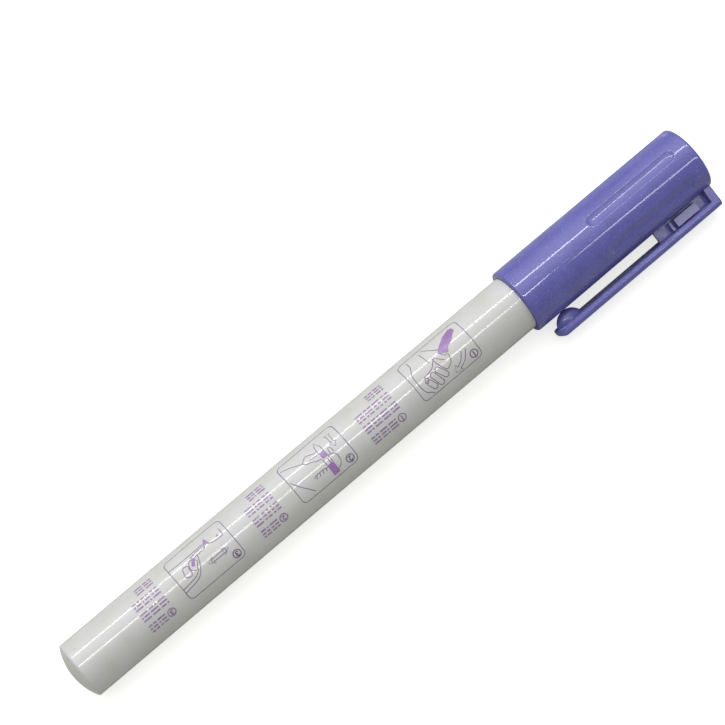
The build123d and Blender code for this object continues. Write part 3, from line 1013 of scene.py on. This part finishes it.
def bar_station(x):
    """Where a point of the bar's section goes at x: the tip and the root's end are rounded."""
    from_tip = x - clip_tip_x
    from_end = root_end_x - x
    width = (clip_half_width - quarter(tip_corner_round, from_tip)
             - quarter(root_edge_round, from_end)) / clip_half_width
    low = clip_inner + quarter(tip_inner_round, from_tip)
    high = clip_outer - quarter(tip_outer_round, from_tip) - quarter(root_edge_round, from_end)

    def place(vert):
        across = vert[section].y * width
        share = (vert[section].z - clip_inner) / (clip_outer - clip_inner)
        return Vector((x, across, low + (high - low) * share))
    return place


def root_station(x, low):
    """The same at the root, where only the section's inner half moves, to the height low."""
    at_bar = bar_station(x)

    def place(vert):
        point = at_bar(vert)
        if vert[section].z < (clip_inner + clip_outer) / 2:
            point.z = vert[section].z + low - clip_inner
        return point
    return place


loop = bm.edges[:]
for vert in bm.verts:
    vert.co = bar_station(clip_tip_x)(vert)
bmesh.ops.edgeloop_fill(bm, edges=loop)
tip_stations = [tip_corner_round * (1 - math.cos(math.radians(step * 9))) for step in range(1, 11)]
straight = [0.0022 + straight_spacing * step for step in range(13)]
bend = [bend_end_x - clip_tip_x + bend_spacing * step for step in range(11)]
stations = (tip_stations
            + [reach for reach in straight if reach < bend[0] - straight_spacing / 2] + bend)
for reach in stations:
    loop = extrude_loop(bm, loop, bar_station(clip_tip_x + reach))
pocket_end_x = root_end_x - end_wall
loop = extrude_loop(bm, loop, bar_station(web_start_x))
for x, low in ((web_start_x + 0.0015, clip_inner), (web_start_x + 0.006, clip_inner),
               (pocket_end_x - wall_slope, clip_inner), (pocket_end_x, root_foot),
               (root_end_x - root_edge_round, root_foot)):
    loop = extrude_loop(bm, loop, root_station(x, low))
for step in range(1, 6):
    x = root_end_x - root_edge_round * (1 - math.sin(math.radians(step * 18)))
    loop = extrude_loop(bm, loop, root_station(x, root_foot))
bmesh.ops.edgeloop_fill(bm, edges=loop)
bmesh.ops.recalc_face_normals(bm, faces=bm.faces)

# The web, from a slab cut where the block and the rib begin and end, which are then drawn out
web = bmesh.new()
web_low = Vector((web_start_x, -web_half_width, root_foot))
web_high = Vector((root_end_x - end_wall / 2, web_half_width, clip_inner + 0.0003))
bmesh.ops.create_cube(web, size=1, matrix=Matrix.Translation((web_low + web_high) / 2)
                      @ Matrix.Diagonal((web_high - web_low).to_4d()))
for x in block_at + rib_at:
    cut_through(web, (x, 0, 0), (1, 0, 0))
for out in (block_low, block_high):
    cut_through(web, (0, 0, out), (0, 0, 1))
for side in (-1, 1):
    for start_x, end_x in (block_at, rib_at):
        middle = Vector(((start_x + end_x) / 2, side * web_half_width, (block_low + block_high) / 2))
        face = min(web.faces, key=lambda face: (face.calc_center_median() - middle).length)
        drawn = bmesh.ops.extrude_face_region(web, geom=[face])["geom"]
        web.faces.remove(face)
        for piece in drawn:
            if isinstance(piece, bmesh.types.BMVert):
                piece.co.y += side * block_proud
            elif isinstance(piece, bmesh.types.BMFace) and start_x == block_at[0]:
                piece.material_index = 1
bmesh.ops.recalc_face_normals(web, faces=web.faces)

# The bump, the inner half of a flattened spindle along the bar, and a little more that is buried
spindle_rise = clip_inner - bump_peak
spindle_radius = (bump_half_length**2 + spindle_rise**2) / (2 * spindle_rise)
spindle_sweep = math.asin(bump_half_length / spindle_radius)
spindle = []
for step in range(25):
    angle = spindle_sweep * (step / 12 - 1)
    spindle.append((bump_x + spindle_radius * math.sin(angle),
                    spindle_radius * math.cos(angle) - spindle_radius + spindle_rise))
spindle[0] = (spindle[0][0], 0)
spindle[-1] = (spindle[-1][0], 0)
bump = outline(spindle)
spin_round(bump, 48)
cut_through(bump, (0, 0, bump_buried), (0, 0, 1), clear_outer=True)
bmesh.ops.edgeloop_fill(bump, edges=[edge for edge in bump.edges if edge.is_boundary])
bmesh.ops.scale(bump, vec=(1, bump_flatness, 1), verts=bump.verts)
bmesh.ops.translate(bump, vec=(0, 0, clip_inner), verts=bump.verts)

for part in (web, bump):
    join_in(bm, part)
bmesh.ops.rotate(bm, cent=(0, 0, 0), matrix=Matrix.Rotation(clip_turn, 3, "X"), verts=bm.verts)

# The block's faces come from a spark-eroded patch of the mould, so they are matt; their paler violet
# is a painted sheen, for the light that their flat faces catch
block_painted_sheen, tree, shader = new_material("block_painted_sheen", IOR=1.52)
grain = noise(tree, own_place(tree), 5000.0, 3.0)
tree.links.new(tinted(tree, band(tree, grain, 0.35, 0.65), block_sheen_violet, block_sheen_pale),
               shader.inputs["Base Color"])
tree.links.new(band(tree, grain, 0.3, 0.7, 0.38, 0.55), shader.inputs["Roughness"])
raise_surface(tree, shader, grain, 0.00003)

clip_arm = finished("clip_arm", bm, violet_plastic("clip_plastic", 0.2), block_painted_sheen)
rounding = clip_arm.modifiers.new("moulded_edges", "BEVEL")
rounding.width = 0.00007
rounding.segments = 2
rounding.limit_method = "ANGLE"
rounding.angle_limit = math.radians(45)
clip_arm.modifiers.move(1, 0)
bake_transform(clip_arm)
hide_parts("clip")


# Table: a plain pale sheet. The pen rests on the cap's lip, the clip's edge and the tail's rim, and
# the barrel is thinner than the cap, so the sheet slopes by about half a degree along the pen.
table_slope = math.atan2(cap_radius - barrel_radius, mouth_x - rim_x)
table_size = 4.0
table_white = (0.56, 0.57, 0.52, 1)
table_shade = (0.54, 0.55, 0.50, 1)
table_glow = 0.72

bm = bmesh.new()
bmesh.ops.create_grid(bm, x_segments=8, y_segments=8, size=table_size / 2,
                      matrix=Matrix.Translation((mouth_x, 0, -cap_radius))
                      @ Matrix.Rotation(table_slope, 4, "Y"))
table_sheet, tree, shader = new_material("table_sheet", Roughness=0.9, Specular_IOR_Level=0.1,
                                         Emission_Color=(1, 1, 1, 1))
paper = noise(tree, own_place(tree), 60.0, 4.0)
tree.links.new(tinted(tree, paper, table_white, table_shade), shader.inputs["Base Color"])

# The sheet looks overexposed, as a backdrop does, but throws only its own soft light at the pen
looked_at = add_node(tree, "LightPath").outputs["Is Camera Ray"]
tree.links.new(band(tree, looked_at, 0, 1, 0, table_glow), shader.inputs["Emission Strength"])
finished("table", bm, table_sheet)


# Lights: a pale room that is brightest overhead, and two long thin tubes above the pen, with a
# short one past the near tube's end. The room lights the pen, and the tubes only draw the bright
# lines along it.
sky_level = 0.31
overhead_level = 2.3
sky_tint = (0.99, 1.0, 0.95, 1)
overhead_tint = (0.99, 0.985, 1.02, 1)
overhead_focus = 4.0
overhead_towards = Vector((0.10, 0.42, 0.90)).normalized()
tubes = (
    ("near_tube", Vector((-0.110, -0.011, 0.483)), Vector((0.158, -0.165, 0.424)), 0.024, 14.0),
    ("end_tube", Vector((0.180, -0.225, 0.397)), Vector((0.290, -0.311, 0.366)), 0.024, 9.0),
    ("far_tube", Vector((-0.110, 0.267, 0.318)), Vector((0.260, 0.088, 0.401)), 0.022, 14.0),
)

world = bpy.data.worlds.new("studio")
bpy.context.scene.world = world
world.use_nodes = True
tree = world.node_tree
direction = add_node(tree, "TexCoord").outputs["Generated"]
facing = add_node(tree, "VectorMath")
facing.operation = "DOT_PRODUCT"
tree.links.new(direction, facing.inputs[0])
facing.inputs[1].default_value = overhead_towards
lobe = sum_of(tree, "POWER", sum_of(tree, "MAXIMUM", facing.outputs["Value"], 0.0), overhead_focus)
level = sum_of(tree, "ADD", sum_of(tree, "MULTIPLY", lobe, overhead_level), sky_level)
room = add_node(tree, "Background", Color=tinted(tree, lobe, sky_tint, overhead_tint), Strength=level)
backdrop = add_node(tree, "Background", Color=(1, 1, 1, 1), Strength=1.0)
seen = add_node(tree, "MixShader", Fac=add_node(tree, "LightPath").outputs["Is Camera Ray"])
tree.links.new(room.outputs[0], seen.inputs[1])
tree.links.new(backdrop.outputs[0], seen.inputs[2])
tree.links.new(seen.outputs[0], tree.nodes["World Output"].inputs["Surface"])

for name, start, end, width, brightness in tubes:
    light = bpy.data.lights.new(name, "AREA")
    light.shape = "RECTANGLE"
    light.size = (end - start).length
    light.size_y = width
    light.energy = brightness * math.pi * light.size * width
    made = bpy.data.objects.new(name, light)
    bpy.context.scene.collection.objects.link(made)
    middle = (start + end) / 2
    along = (end - start).normalized()
    back = (middle - along * middle.dot(along)).normalized()
    axes = Matrix((along, back.cross(along), back)).transposed()
    made.matrix_world = Matrix.Translation(middle) @ axes.to_4x4()
    made.visible_camera = False
    made.visible_diffuse = False


# Camera: a long lens high above the pen's tail, a little to the clip's side
camera_place = Vector((-0.05078, -0.14932, 0.43450))
camera_aim = Vector((0.02213, 0.00974, 0))
camera_roll = math.radians(-16.956)

camera = bpy.data.cameras.new("camera")
camera.sensor_width = 36.0
camera.lens = 134.07
viewer = bpy.data.objects.new("camera", camera)
bpy.context.scene.collection.objects.link(viewer)
look = (camera_aim - camera_place).to_track_quat("-Z", "Y")
look = look @ Quaternion((0, 0, 1), camera_roll)
viewer.matrix_world = Matrix.Translation(camera_place) @ look.to_matrix().to_4x4()
bpy.context.scene.camera = viewer
bpy.context.scene.view_settings.view_transform = "Standard"
